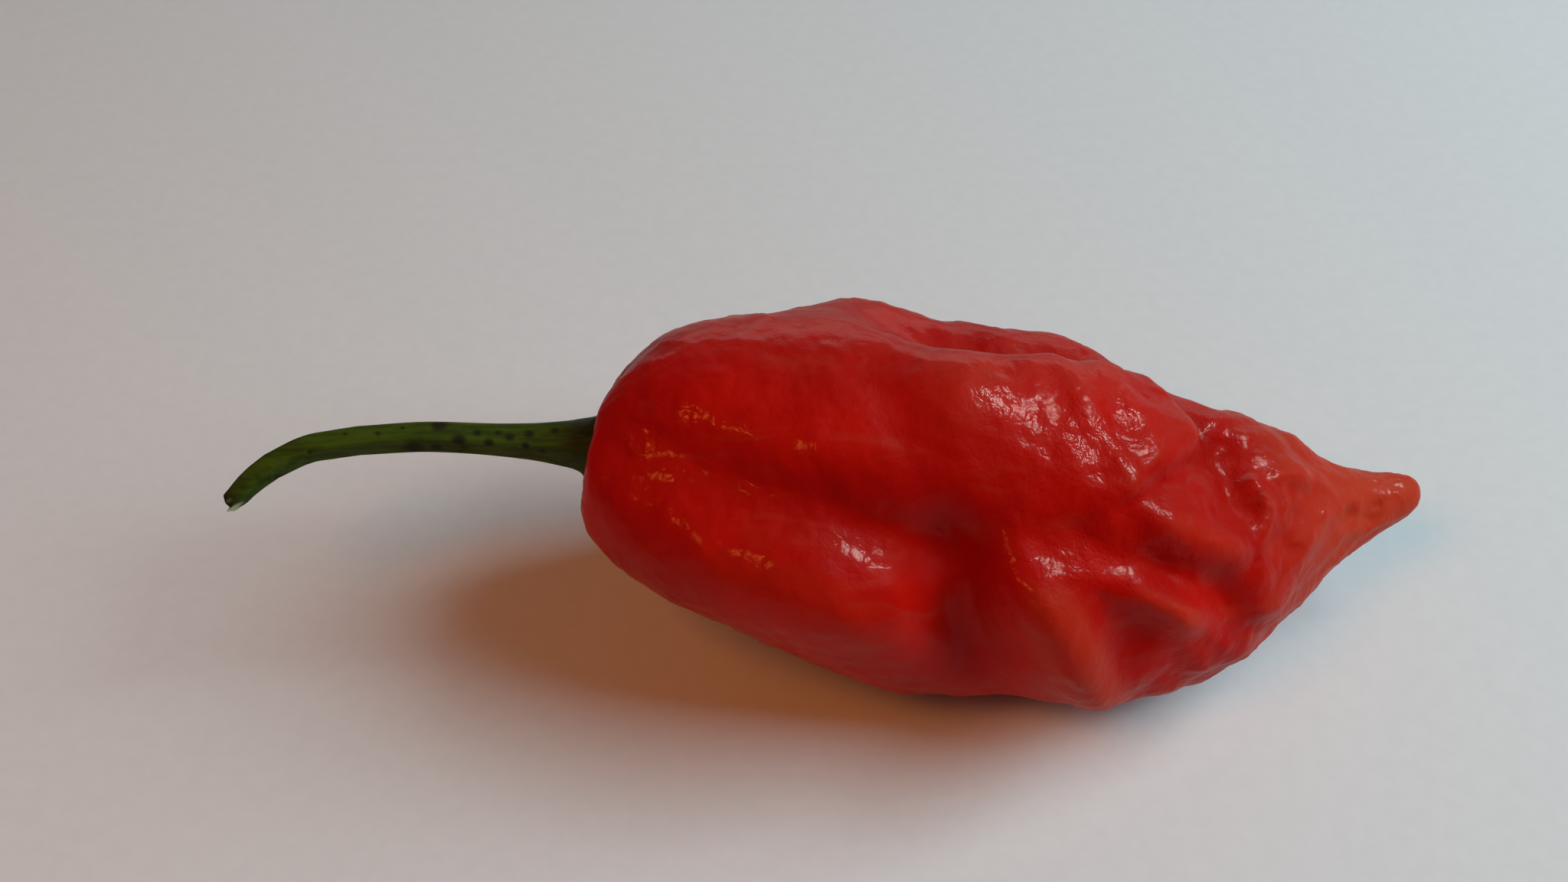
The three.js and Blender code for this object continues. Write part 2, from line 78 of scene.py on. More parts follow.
# Pod: lobes and ridges (positive height) and valleys (negative), each a soft stroke
# with a width and a path of x, angle and height
STROKES = {
    "upper lobe": (5, [
        (-24, -10, 0.4), (-18, -20, 0.7), (-10, -24, 0.8), (-3, -16, 0.8), (3, -10, 0.9), (8, -15, 1.1),
        (12, -17, 0.3)]),
    "hump of the upper lobe": (3, [(-1, 6, 1)]),
    "hollow behind the upper lobe": (2.6, [
        (-9, -34, 0), (-5, -32, -1.3), (-1, -27, -2.8), (4, -28, -3), (9, -36, -2.2), (13, -43, -1)]),
    "far lobe": (3.2, [
        (-12, -60, 0.2), (-6.5, -54, 2), (-3, -50, 0.3), (3, -46, -0.2), (7.5, -48, 0.8),
        (10.4, -50, 1.1)]),
    "trimmed shoulder": (4.5, [(-27.5, -36, -2.4)]),
    "mid valley": (3.4, [
        (-24, 39, -0.9), (-18, 44, -1.8), (-13, 46, -2.1), (-8, 49, -2.7), (-3, 51, -2.4),
        (3, 49, -1.7), (8, 49, -0.5)]),
    "end of the mid valley": (2, [(7, 50, -0.2), (10, 50, -0.5), (13, 50, -1.5), (16.5, 50, -1.4)]),
    "lower lobe": (5.5, [
        (-24, 92, 1.6), (-19, 84, 1.2), (-14, 74, 1.9), (-10, 68, 2.7), (-6.8, 69, 2.1)]),
    "cross valley": (2.8, [
        (-2.2, 46, -1), (-1.6, 60, -2.2), (-0.5, 78, -2.8), (1.2, 98, -1.8), (2.4, 112, -0.5)]),
    "slanting ridge": (2.8, [
        (1.8, 50, 0.9), (3.5, 57, 2), (5.2, 68, 2.5), (6.9, 82, 2.4), (8.5, 98, 2), (9.7, 112, 1.2)]),
    "groove beside the slanting ridge": (1.8, [
        (8.2, 54, -0.4), (9.2, 62, -0.9), (10.4, 74, -0.6), (11.4, 88, -0.3)]),
    "ridge over the panel": (1.6, [
        (8, 55, 0.9), (10, 57, 1.4), (12, 59, 1.6), (14.4, 62, 1.8), (16, 66, 1.2)]),
    "ridge past the panel": (2.2, [(15.2, 69, 0.1), (15, 80, 0.1), (14, 94, 0.1), (12.8, 112, 0.1)]),
    "valley before the tail": (1.8, [(18.8, 50, -1.2), (18.9, 64, -1), (18.6, 78, -0.4)]),
    "ridge under the nose": (2, [
        (10.5, 27, 0.4), (13.5, 32, 1.2), (16.2, 38, 1.5), (18.2, 43, 1.3), (20.2, 50, 1),
        (20.4, 62, 0.8), (20, 76, 0.6)]),
    "far lobe of the tail": (3.2, [(19, -38, 0.8), (22, -36, 1.6), (26, -27, 0.9), (29, -20, 0.1)]),
    "dip past the nose": (1.8, [(19.6, -12, -0.7), (19.8, 0, -1), (19.6, 12, -1), (19.6, 22, -0.5)]),
    "tail wrinkle, lengthwise": (1, [(19.5, -7, 0.45), (22, -6, 0.6), (25, -3, 0.5)]),
    "tail wrinkle, near the nose": (0.8, [
        (20.9, 4, 0.6), (21.5, 13, 0.8), (21.5, 28, 0.8), (21, 36, 0.4)]),
    "tail wrinkle, over the top": (0.8, [(22.4, 5, 0.5), (24, 4, 0.8), (25.8, 5, 0.5)]),
    "tail wrinkle, down the side": (0.8, [(23.3, 12, 0.6), (23.3, 22, 0.8), (23, 30, 0.3)]),
    "band on the tail": (1.6, [(26, 40, 0.6), (23.6, 58, 0.8), (22, 72, 0.6)]),
    "first dimple of the tip": (0.8, [(29.8, 38, -0.5)]),
    "second dimple of the tip": (0.8, [(31.5, 48, -0.5)]),
    "belly": (6, [(-10, 180, 0.7), (-2, 180, 0.5)]),
    "edge of the underside": (6, [(-8, 122, 0.4), (4, 124, 0.6), (10, 118, 0.5)]),
    "back valley": (4, [
        (-23, -90, -0.8), (-12, -90, -1.6), (-2, -94, -1.8), (8, -98, -1.6), (14, -96, -0.8)]),
    "low back valley": (4, [(-22, -138, -0.8), (-10, -142, -1.5), (2, -142, -1.7), (12, -138, -1)]),
    "back cross valley": (2.4, [(3.5, -66, -0.6), (4.5, -82, -1.6), (4, -104, -1.6), (2, -124, -0.6)]),
    "back ridge": (2.6, [(9, -66, 0.8), (10, -84, 1.6), (9, -104, 1.5), (8, -124, 0.5)]),
    "back valley before the tail": (1.8, [
        (16, -62, -0.6), (17, -84, -1.3), (16.5, -110, -1.3), (15.5, -130, -0.5)]),
    "back ridge of the tail": (2, [(20.5, -72, 0.4), (21, -92, 1), (21, -118, 0.8)]),
}

# Pod: the upper lobe ends in a nose that stands over the tail.
# Each row is an angle, the x of the nose's edge there and half the step down
NOSE = [
    (-50, 13, 0), (-36, 14.2, 0.6), (-24, 15.6, 1), (-12, 17, 1.3), (-4, 17.1, 1.4), (4, 16.2, 1.2),
    (13, 14.4, 0.9), (24, 12, 0.6), (34, 9.4, 0.3), (46, 6, 0),
]
NOSE_EDGE = 0.9
NOSE_REACH = 3.2

# Pod: single dimples (negative height) and bumps as x, angle, height and width
BUMPS = [
    (19.3, 14, -0.55, 1.3), (19.4, -14, -0.35, 1.1), (17.9, 46, -0.35, 1.2), (20, 45, -0.4, 0.9),
    (23.7, 12, -0.4, 0.6), (23.6, 44, -0.3, 0.9), (20.8, 7, 0.3, 0.6), (21.1, 19, 0.25, 0.6),
    (18.5, 3, 0.25, 0.6), (18.7, -24, 0.3, 0.7), (21, -19, 0.3, 0.7), (16.2, 24, 0.25, 0.6),
    (17.4, 22, 0.2, 0.5), (31.4, 28, -0.3, 0.55), (32.3, 38, -0.35, 0.55), (30.5, 12, 0.2, 0.6),
    (27, 30, 0.2, 0.6), (28.9, 33, 0.2, 0.5), (20.5, 84, 0.2, 0.6), (18.6, 82, 0.25, 0.6),
    (26.5, 60, -0.25, 1.2), (25.5, -8, -0.3, 1),
]

# Pod: slow waves of the skin as height, waves per millimetre of length (radians), waves round and phase
WAVES = [
    (0.11, 0.34, 4, 0.3), (0.1, -0.5, 7, 1.7), (0.09, 0.75, -6, 2.9), (0.07, 1.15, 10, 4.1),
    (0.06, 0.3, 13, 5.2), (0.06, -1.4, 11, 0.9),
]

# Each wave's line is bent by sine waves: size, waves lengthwise, waves round and share of the phase
WAVE_BENDS = [(1.3, 0.31, -2, 1), (0.9, 0.17, 3, 2)]
WAVE_FULL_RADIUS = 9
WAVE_MEAN = 0.65
WAVE_CHANGE = 0.35
WAVE_CHANGE_X = 2
WAVE_CHANGE_SPAN = 6

# Pod: the relief fades out in the stem's hollow and at the very tip
HOLLOW_EDGE = 3.2
HOLLOW_FADE = 3
TIP_FADE = 2

# Stem and calyx: the line through the middle as x, y, z
STEM_SPINE = [
    (-53.8, -1.75, 14.65), (-52, -0.6, 15.85), (-50.5, 0.3, 16.62), (-48, 1.3, 17.3), (-46, 1.6, 17.58),
    (-44, 1.8, 17.8), (-39, 1.9, 18.1), (-33, 1.75, 17.9), (-28, 1.6, 17.6), (-23.8, 1.4, 16.8),
]

# Stem and calyx: x and radius, from the torn end along the stem and round the calyx
STEM_OUTLINE = [
    (-53.1, 0), (-53.3, 0.35), (-53.55, 0.6), (-53.45, 0.72), (-53, 0.8), (-51, 0.94), (-48, 1.0),
    (-44, 1.04), (-39, 1.08), (-34.5, 1.14), (-31, 1.35), (-28.8, 1.68), (-27.6, 2), (-26.8, 2.3),
    (-26, 2.55), (-25.2, 2.5), (-24.8, 2.15), (-24.4, 1.35), (-24.3, 0),
]

# Stem: five flat sides with rounded edges between them, the first edge at this angle
STEM_SIDES = 5
STEM_EDGE_AT = 56
STEM_EDGE_SHARPNESS = 10
STEM_MEAN = 0.95

# Calyx: a short tooth on each edge of the stem
TOOTH_LENGTH = 0.6
TOOTH_SPREAD = 0.5
TOOTH_X = -26.6
CALYX_X = -27
CALYX_BLEND = 3
CALYX_COLOUR_X = -30.5

# Torn end: fibres that stand out of its rim, as angle, width in degrees and length
TORN_FIBRES = [(150, 26, 0.55), (96, 20, 0.9), (30, 30, 0.25), (262, 34, 0.35)]
TORN_X = -52.9
TORN_BLEND = 0.3
FIBRE_RADIUS = 0.8
FIBRE_LEAN = 0.45
FIBRE_PALE_FROM = 0.15
FIBRE_PALE_SPAN = 0.25
DRIED_LENGTH = 0.9

# Stem: dark spots as x, angle and radius
STEM_SPOTS = [
    (-38, -6, 0.42), (-39.9, 96, 0.5), (-38.2, 92, 0.3), (-36.5, 52, 0.36), (-35.2, 22, 0.22),
    (-34.3, 56, 0.26), (-33.7, 18, 0.16), (-32.8, 34, 0.26), (-31.6, 58, 0.2), (-31.4, 20, 0.26),
    (-29.6, 8, 0.2), (-42.4, 20, 0.14), (-40.6, 4, 0.12), (-44.8, 10, 0.12), (-30.4, 74, 0.18),
    (-35.8, 160, 0.3), (-41.5, -80, 0.3), (-33, -70, 0.3), (-47.5, 60, 0.16), (-37.2, -120, 0.3),
    (-45, 190, 0.26),
]

SPOT_STRETCH = 0.8
SPOT_EDGE = 1.6

# Pod: the skin is smoother near the stem and more crinkled toward the tip
CRINKLED_LEFT = 0.35
CRINKLED_FROM = -6
CRINKLED_SPAN = 20

# Pod: fine crinkles, read from noise at places in millimetres, and folds along the edges of cells
CRINKLE_DRIFT = 0.45
CRINKLE_STRETCH = 0.75
CRINKLE_SCALE = 0.62
CRINKLE_ROUGHNESS = 0.8
CRINKLE_STEP = 2.1
CRINKLE_LAYERS = 3
FOLD_SCALE = 0.4
FOLD_FROM = 0.3
FOLD_HEIGHT = 0.9
FOLD_WIDTH = 0.25

# Finish of the skin: patterns per metre, and how close and how deep each layer of crinkles is
# against the settings
PATCHES_PER_METRE = 110
SPECKS_PER_METRE = 900
STREAKS_PER_METRE = 420
STREAK_SQUEEZE = (0.22, 1.0, 1.0)
DENT_CLOSENESS = 0.55
DENT_DEPTH = 2.6
CREASE_CLOSENESS = 1.2
CREASE_DEPTH = 0.12
PIT_CLOSENESS = 2.7
PIT_DEPTH = 0.3

# Finish of the rind: patterns per metre, and depths in metres
RIND_LINES_PER_METRE = 2600
RIND_LINE_SQUEEZE = (0.12, 1.0, 1.0)
RIND_LINE_DEPTH = 0.00006
RIND_PATCHES_PER_METRE = 260
RIND_SPOTS_PER_METRE = 520
RIND_SPOT_DEPTH = 0.00005

# Finish of the surface under the pepper
GRAINS_PER_METRE = 700
GRAIN_COLOUR = (0.4, 0.4, 0.4)

OUTLINE_SAMPLES = 4000
SLOPE_STEP = 0.05
BLOB_SPACING = 0.7


# Curves through points


def smooth_rows(rows, at):
    """Values of a smooth curve through the rows at fractional row numbers."""
    table = np.asarray(rows, float)
    last = len(table) - 1
    i = np.clip(np.floor(at).astype(int), 0, last - 1)
    f = (at - i)[:, None]
    a, b, c, d = (table[np.clip(i + k, 0, last)] for k in (-1, 0, 1, 2))
    return 0.5 * (2 * b + (c - a) * f + (2 * a - 5 * b + 4 * c - d) * f**2 + (3 * b - a - 3 * c + d) * f**3)


def rows_at(rows, first):
    """The rows' smooth curve read at values of their first column."""
    heads = [row[0] for row in rows]
    return smooth_rows(rows, np.interp(first, heads, np.arange(len(rows))))


def even_stations(outline, count):
    """x, radius and length from the start, at stations spaced evenly along an outline."""
    fine = smooth_rows(outline, np.linspace(0, len(outline) - 1, OUTLINE_SAMPLES))
    steps = np.hypot(*np.diff(fine, axis=0).T)
    lengths = np.concatenate([[0], np.cumsum(steps)])
    along = np.linspace(0, lengths[-1], count)
    x = np.interp(along, lengths, fine[:, 0])
    radius = np.maximum(np.interp(along, lengths, fine[:, 1]), 0)
    return x, radius, along


def smooth_step(value):
    t = np.clip(value, 0, 1)
    return t * t * (3 - 2 * t)


# Relief of the pod, all in millimetres


def blobs_of(width, path):
    """A stroke as soft blobs of x, angle and height, which add up to its height."""
    rows = np.array(path, float)
    if len(rows) == 1:
        return rows
    girth = np.array(POD_OUTLINE[SHOULDER:], float)
    radius = np.interp(rows[:, 0], girth[:, 0], girth[:, 1])
    round_step = np.radians(np.diff(rows[:, 1])) * 0.5 * (radius[1:] + radius[:-1])
    lengths = np.concatenate([[0], np.cumsum(np.hypot(np.diff(rows[:, 0]), round_step))])
    count = max(2, math.ceil(lengths[-1] / (BLOB_SPACING * width)) + 1)
    even = np.linspace(0, lengths[-1], count)
    blobs = smooth_rows(rows, np.interp(even, lengths, np.arange(len(rows))))
    blobs[:, 2] *= lengths[-1] / (count - 1) / (width * math.sqrt(math.pi))
    return blobs


def turned(angle):
    return np.mod(angle + 180, 360) - 180


def stroke_height(strokes, x, angle, radius):
    per_degree = np.radians(np.maximum(radius, 1))
    height = np.zeros(x.shape)
    for width, path in strokes.values():
        for blob_x, blob_angle, blob_height in blobs_of(width, path):
            round_way = turned(angle - blob_angle) * per_degree
            height += blob_height * np.exp(-((x - blob_x) ** 2 + round_way**2) / width**2)
    return height


def bump_height(x, angle, radius):
    per_degree = np.radians(np.maximum(radius, 1))
    height = np.zeros(x.shape)
    for bump_x, bump_angle, bump, width in BUMPS:
        round_way = turned(angle - bump_angle) * per_degree
        height += bump * np.exp(-((x - bump_x) ** 2 + round_way**2) / width**2)
    return height


def nose_height(x, angle):
    way = np.clip(turned(angle), NOSE[0][0], NOSE[-1][0])
    row = rows_at(NOSE, way.ravel())
    inside = row[:, 1].reshape(x.shape) - x
    half = row[:, 2].reshape(x.shape)
    return half * np.tanh(inside / NOSE_EDGE) * np.exp(-np.abs(inside) / NOSE_REACH)


def wave_height(x, angle, radius):
    turn = np.radians(angle)
    height = np.zeros(x.shape)
    for size, lengthwise, round_waves, phase in WAVES:
        bend = sum(
            bend_size * np.sin(bend_along * x + bend_round * turn + bend_phase * phase)
            for bend_size, bend_along, bend_round, bend_phase in WAVE_BENDS)
        height += size * np.sin(lengthwise * x + round_waves * turn + phase + bend)
    share = WAVE_MEAN + WAVE_CHANGE * np.tanh((x - WAVE_CHANGE_X) / WAVE_CHANGE_SPAN)
    return height * np.minimum(radius / WAVE_FULL_RADIUS, 1) * share


def crinkle_height(points, crinkled, depth):
    """Fine crinkles and folds of the skin, from noise that is read at each point in millimetres."""
    height = np.empty(len(points))
    for i, (x, y, z) in enumerate(points):
        drift = noise.noise(Vector((x, y, z)) * CRINKLE_DRIFT)
        spot = Vector((x * CRINKLE_STRETCH, y + drift, z + drift))
        height[i] = noise.multi_fractal(
            spot * CRINKLE_SCALE, CRINKLE_ROUGHNESS, CRINKLE_STEP, CRINKLE_LAYERS)
        if crinkled[i] > FOLD_FROM:
            near, second = noise.voronoi(spot * FOLD_SCALE)[0][:2]
            fold = math.exp(-((second - near) / FOLD_WIDTH) ** 2)
            height[i] += (crinkled[i] - FOLD_FROM) * FOLD_HEIGHT * fold
    return depth * (height - height.mean())


# Surfaces made of rings between two end points


def ring_mesh(name, rings):
    """A closed mesh from an array of rings, of which the first and the last are single points."""
    sides = rings.shape[1]
    points = [rings[0, 0], *rings[1:-1].reshape(-1, 3), rings[-1, 0]]
    count = len(rings) - 2
    side = np.arange(sides)
    after = (side + 1) % sides
    faces = [(0, 1 + b, 1 + a) for a, b in zip(side, after)]
    for i in range(count - 1):
        here = 1 + i * sides
        there = here + sides
        faces.extend(zip(here + side, here + after, there + after, there + side))
    last = len(points) - 1
    start = 1 + (count - 1) * sides
    faces.extend((start + a, start + b, last) for a, b in zip(side, after))
    mesh = bpy.data.meshes.new(name)
    mesh.from_pydata(np.array(points).tolist(), [], [tuple(map(int, face)) for face in faces])
    mesh.polygons.foreach_set("use_smooth", [True] * len(mesh.polygons))
    mesh.update()
    return mesh


def ring_values(values):
    """One value a vertex, in the order of ring_mesh."""
    return np.concatenate([[values[0, 0]], values[1:-1].ravel(), [values[-1, 0]]])


def keep_values(mesh, name, values):
    layer = mesh.attributes.new(name, "FLOAT", "POINT")
    layer.data.foreach_set("value", np.ascontiguousarray(values, dtype=np.float32))


def place(mesh, material):
    piece = bpy.data.objects.new(mesh.name, mesh)
    bpy.context.scene.collection.objects.link(piece)
    mesh.materials.append(material)
    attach(piece, BODY)
    return piece


# Materials


class Nodes:
    """Short names for adding and joining the nodes of one material."""

    def __init__(self, name):
        self.material = bpy.data.materials.new(name)
        self.material.use_nodes = True
        self.tree = self.material.node_tree
        self.shader = self.tree.nodes["Principled BSDF"]
        self.where = self.add("ShaderNodeTexCoord").outputs["Object"]

    def add(self, kind, **settings):
        node = self.tree.nodes.new(kind)
        for key, value in settings.items():
            setattr(node, key, value)
        return node

    def join(self, output, socket):
        self.tree.links.new(output, socket)

    def squeezed(self, squeeze):
        """Places on the piece, with each axis scaled so that a pattern stretches along it."""
        node = self.add("ShaderNodeMapping")
        self.join(self.where, node.inputs["Vector"])
        node.inputs["Scale"].default_value = squeeze
        return node.outputs["Vector"]

    def noise(self, per_metre, detail=2.0, roughness=0.5, distortion=0.0, squeeze=None):
        node = self.add("ShaderNodeTexNoise")
        self.join(self.squeezed(squeeze) if squeeze else self.where, node.inputs["Vector"])
        node.inputs["Scale"].default_value = per_metre
        node.inputs["Detail"].default_value = detail
        node.inputs["Roughness"].default_value = roughness
        node.inputs["Distortion"].default_value = distortion
        return node.outputs["Fac"]

    def creases(self, per_metre):
        """Distance to the nearest crease of a net of small cells."""
        node = self.add("ShaderNodeTexVoronoi", feature="DISTANCE_TO_EDGE")
        self.join(self.where, node.inputs["Vector"])
        node.inputs["Scale"].default_value = per_metre
        return node.outputs["Distance"]

    def attribute(self, name):
        return self.add("ShaderNodeAttribute", attribute_name=name).outputs["Fac"]

    def span(self, value, low, high, to_low=0.0, to_high=1.0):
        """value between low and high, spread between to_low and to_high."""
        node = self.add("ShaderNodeMapRange", interpolation_type="SMOOTHSTEP")
        self.join(value, node.inputs["Value"])
        node.inputs["From Min"].default_value = low
        node.inputs["From Max"].default_value = high
        node.inputs["To Min"].default_value = to_low
        node.inputs["To Max"].default_value = to_high
        return node.outputs["Result"]

    def math(self, operation, first, second):
        node = self.add("ShaderNodeMath", operation=operation)
        for value, socket in zip((first, second), node.inputs):
            if isinstance(value, (int, float)):
                socket.default_value = value
            else:
                self.join(value, socket)
        return node.outputs["Value"]

    def blend(self, share, first, second):
        """Two colours, mixed by a share that is a number or an output."""
        node = self.add("ShaderNodeMix", data_type="RGBA")
        for value, socket in zip((share, first, second), (node.inputs[0], node.inputs[6], node.inputs[7])):
            if isinstance(value, bpy.types.NodeSocket):
                self.join(value, socket)
            else:
                socket.default_value = value if isinstance(value, float) else (*value, 1.0)
        return node.outputs[2]

    def bump(self, height, depth, under=None, strength=None):
        node = self.add("ShaderNodeBump")
        if strength is not None:
            self.join(strength, node.inputs["Strength"])
        node.inputs["Distance"].default_value = depth
        self.join(height, node.inputs["Height"])
        if under is not None:
            self.join(under, node.inputs["Normal"])
        return node.outputs["Normal"]


def skin_material(looks):
    """Waxy red skin, finely crinkled: painted shade darkens the valleys and a painted sheen pales the folds
    and the tip.
    """
    nodes = Nodes("waxy_red_skin")
    relief = nodes.attribute("relief")
    tipward = nodes.attribute("tipward")
    crinkled = nodes.attribute("crinkled")
    patches = nodes.noise(PATCHES_PER_METRE, detail=3)
    specks = nodes.noise(SPECKS_PER_METRE, detail=3, roughness=0.6)
    streaks = nodes.noise(STREAKS_PER_METRE, detail=3, distortion=0.8, squeeze=STREAK_SQUEEZE)

    colour = nodes.blend(nodes.span(patches, 0.35, 0.7), tuple(looks.deep_red), tuple(looks.red))
    # Painted shade: the skin colour darkens where the relief sinks into the valleys.
    colour = nodes.blend(nodes.span(relief, 0.6, -2.2, 0.0, 0.75), colour, tuple(looks.valley_shade_red))
    # Painted sheen: the skin pales toward the tip and on the raised folds, where the light's haze lies.
    tip_sheen = nodes.math("MULTIPLY", nodes.span(tipward, 0.72, 0.95), 0.8)
    colour = nodes.blend(tip_sheen, colour, tuple(looks.sheen_pale_red))
    folds = nodes.math("MULTIPLY", nodes.span(relief, 0.3, 1.6, 0.0, 0.45), crinkled)
    colour = nodes.blend(folds, colour, tuple(looks.sheen_pale_red))
    # Pale milky streaks mixed into the colour along the skin.
    colour = nodes.blend(nodes.span(streaks, 0.56, 0.74, 0.0, 0.2), colour, tuple(looks.pale_streak))
    nodes.join(colour, nodes.shader.inputs["Base Color"])

    gloss = nodes.math("ADD", nodes.span(specks, 0.3, 0.7, -0.04, 0.06), looks.skin_roughness)
    nodes.join(gloss, nodes.shader.inputs["Roughness"])

    closeness, depth = looks.crinkles_per_metre, looks.crinkle_depth
    dents = nodes.noise(closeness * DENT_CLOSENESS, detail=1)
    crinkles = nodes.noise(closeness, detail=4, roughness=0.55, distortion=0.6)
    creases = nodes.span(nodes.creases(closeness * CREASE_CLOSENESS), 0.0, 0.16)
    pits = nodes.noise(closeness * PIT_CLOSENESS, detail=2)
    strength = nodes.span(crinkled, 0.2, 1.0, 0.45, 1.0)
    normal = nodes.bump(dents, depth * DENT_DEPTH, strength=strength)
    normal = nodes.bump(crinkles, depth, normal, strength)
    normal = nodes.bump(creases, depth * CREASE_DEPTH, normal, strength)
    normal = nodes.bump(pits, depth * PIT_DEPTH, normal, strength)
    nodes.join(normal, nodes.shader.inputs["Normal"])
    nodes.join(normal, nodes.shader.inputs["Coat Normal"])
    nodes.shader.inputs["Specular IOR Level"].default_value = 0.05
    nodes.shader.inputs["Coat Weight"].default_value = 0.09
    nodes.shader.inputs["Coat Roughness"].default_value = 0.06
    nodes.shader.inputs["Sheen Weight"].default_value = 0.08
    nodes.shader.inputs["Sheen Roughness"].default_value = 0.35
    nodes.shader.inputs["Sheen Tint"].default_value = (1.0, 0.75, 0.6, 1)
    nodes.shader.inputs["Subsurface Weight"].default_value = 0.12
    nodes.shader.inputs["Subsurface Radius"].default_value = (0.9, 0.15, 0.08)
    nodes.shader.inputs["Subsurface Scale"].default_value = MM
    return nodes.material


def rind_material(looks):
    """Olive green rind: fine lengthwise lines, dark spots, a dried edge and a pale torn end."""
    nodes = Nodes("olive_green_rind")
    lines = nodes.noise(RIND_LINES_PER_METRE, detail=3, squeeze=RIND_LINE_SQUEEZE)
    patches = nodes.noise(RIND_PATCHES_PER_METRE, detail=3)
    spots = nodes.noise(RIND_SPOTS_PER_METRE, detail=3, roughness=0.6)

    dark_green = tuple(looks.dark_green)
    spot_brown = tuple(looks.spot_brown)
    colour = nodes.blend(nodes.span(lines, 0.35, 0.65, 0.35, 1.0), dark_green, tuple(looks.green))
    colour = nodes.blend(nodes.span(patches, 0.5, 0.75, 0.0, 0.5), colour, dark_green)
    colour = nodes.blend(nodes.span(spots, 0.66, 0.72, 0.0, 0.6), colour, spot_brown)
    colour = nodes.blend(nodes.math("MULTIPLY", nodes.attribute("calyx"), 0.5), colour, dark_green)
    colour = nodes.blend(nodes.math("MULTIPLY", nodes.attribute("spotted"), 0.85), colour, spot_brown)
    colour = nodes.blend(nodes.attribute("dried"), colour, spot_brown)
    colour = nodes.blend(nodes.attribute("torn"), colour, tuple(looks.torn_pale))
    nodes.join(colour, nodes.shader.inputs["Base Color"])
    nodes.join(nodes.span(spots, 0.4, 0.7, 0.5, 0.65), nodes.shader.inputs["Roughness"])
    nodes.shader.inputs["Specular IOR Level"].default_value = 0.12
    normal = nodes.bump(lines, RIND_LINE_DEPTH)
    normal = nodes.bump(spots, RIND_SPOT_DEPTH, normal)
    nodes.join(normal, nodes.shader.inputs["Normal"])
    return nodes.material


def surface_material(looks):
    """Pale matt surface under the pepper."""
    nodes = Nodes("pale_surface")
    grain = nodes.noise(GRAINS_PER_METRE, detail=3)
    share = nodes.span(grain, 0.3, 0.7, 0.0, 0.06)
    colour = nodes.blend(share, tuple(looks.surface_colour), GRAIN_COLOUR)
    nodes.join(colour, nodes.shader.inputs["Base Color"])
    nodes.shader.inputs["Roughness"].default_value = 0.75
    nodes.shader.inputs["Specular IOR Level"].default_value = 0.25
    return nodes.material


# Settings that a user would change


def colour_setting(name, description, default):
    return FloatVectorProperty(
        name=name, description=description, default=default, size=3, min=0, max=1, subtype="COLOR")


class ChilliPodSettings(bpy.types.PropertyGroup):
    stations: IntProperty(name="Stations", description="Rings along the pod", default=380, min=40, max=384)
    sides: IntProperty(name="Sides", description="Points round each ring", default=256, min=32, max=256)
    wrinkle_depth: FloatProperty(
        name="Wrinkle depth", description="Height of the fine wrinkles that stand out of the skin",
        default=0.00009, min=0, max=0.0004, precision=5, unit="LENGTH")
    crinkle_depth: FloatProperty(
        name="Crinkle depth", description="Height of the finest crinkles in the finish",
        default=0.00007, min=0, max=0.0005, precision=5, unit="LENGTH")
    crinkles_per_metre: FloatProperty(
        name="Crinkles per metre", description="How close the finest crinkles stand",
        default=1100, min=200, max=5000)
    skin_roughness: FloatProperty(
        name="Skin roughness", description="Roughness under the waxy coat", default=0.48, min=0, max=1,
        subtype="FACTOR")
    deep_red: colour_setting("Deep red", "Darker patches of the skin", (0.38, 0.002, 0.0004))
    red: colour_setting("Red", "Main colour of the skin", (0.48, 0.0035, 0.0005))
    # Painted shade: the darker red that the valleys are painted with.
    valley_shade_red: colour_setting("Valley red", "Skin in the valleys", (0.32, 0.002, 0.0005))
    # Painted sheen: the paler red laid on the folds and near the tip.
    sheen_pale_red: colour_setting("Tip red", "Paler skin on the folds and near the tip", (0.49, 0.046, 0.017))
    pale_streak: colour_setting("Bloom", "Faint milky streaks along the skin", (0.40, 0.045, 0.02))


class ChilliStemSettings(bpy.types.PropertyGroup):
    stations: IntProperty(name="Stations", description="Rings along the stem", default=260, min=40, max=400)
    sides: IntProperty(name="Sides", description="Points round each ring", default=80, min=20, max=120)
    green: colour_setting("Green", "Lit olive green of the rind", (0.044, 0.078, 0.005))
    dark_green: colour_setting("Dark green", "Darker green of the rind", (0.016, 0.024, 0.002))
    spot_brown: colour_setting("Spot brown", "Dark brown spots", (0.010, 0.008, 0.004))
    torn_pale: colour_setting("Torn pale", "Pale inside of the torn end", (0.42, 0.47, 0.30))


class ChilliStageSettings(bpy.types.PropertyGroup):
    surface_colour: colour_setting("Surface colour", "Pale surface under the pepper", (0.72, 0.71, 0.70))
    window_strength: FloatProperty(
        name="Window strength", description="Power of the light that only gives the pale highlights",
        default=2.3, min=0, unit="POWER")
    bright_wall_strength: FloatProperty(
        name="Bright wall strength", description="Power of the soft cool light, which leaves no highlight",
        default=3.15, min=0, unit="POWER")
    far_wall_strength: FloatProperty(
        name="Far wall strength", description="Power of the light that only shows along the top edge",
        default=3.1, min=0, unit="POWER")
    lamp_strength: FloatProperty(
        name="Lamp strength", description="Power of the light that only gives the orange highlights",
        default=0.22, min=0, unit="POWER")
    warm_wall_strength: FloatProperty(
        name="Warm wall strength", description="Power of the soft warm light, which leaves no highlight",
        default=0.385, min=0, unit="POWER")
    camera_height: FloatProperty(
        name="Camera height", description="Angle of the camera above the surface",
        default=math.radians(48), subtype="ANGLE")
    camera_distance: FloatProperty(
        name="Camera distance", description="From the camera to the point it looks at",
        default=0.1346, min=0.05, unit="LENGTH")


# Pod


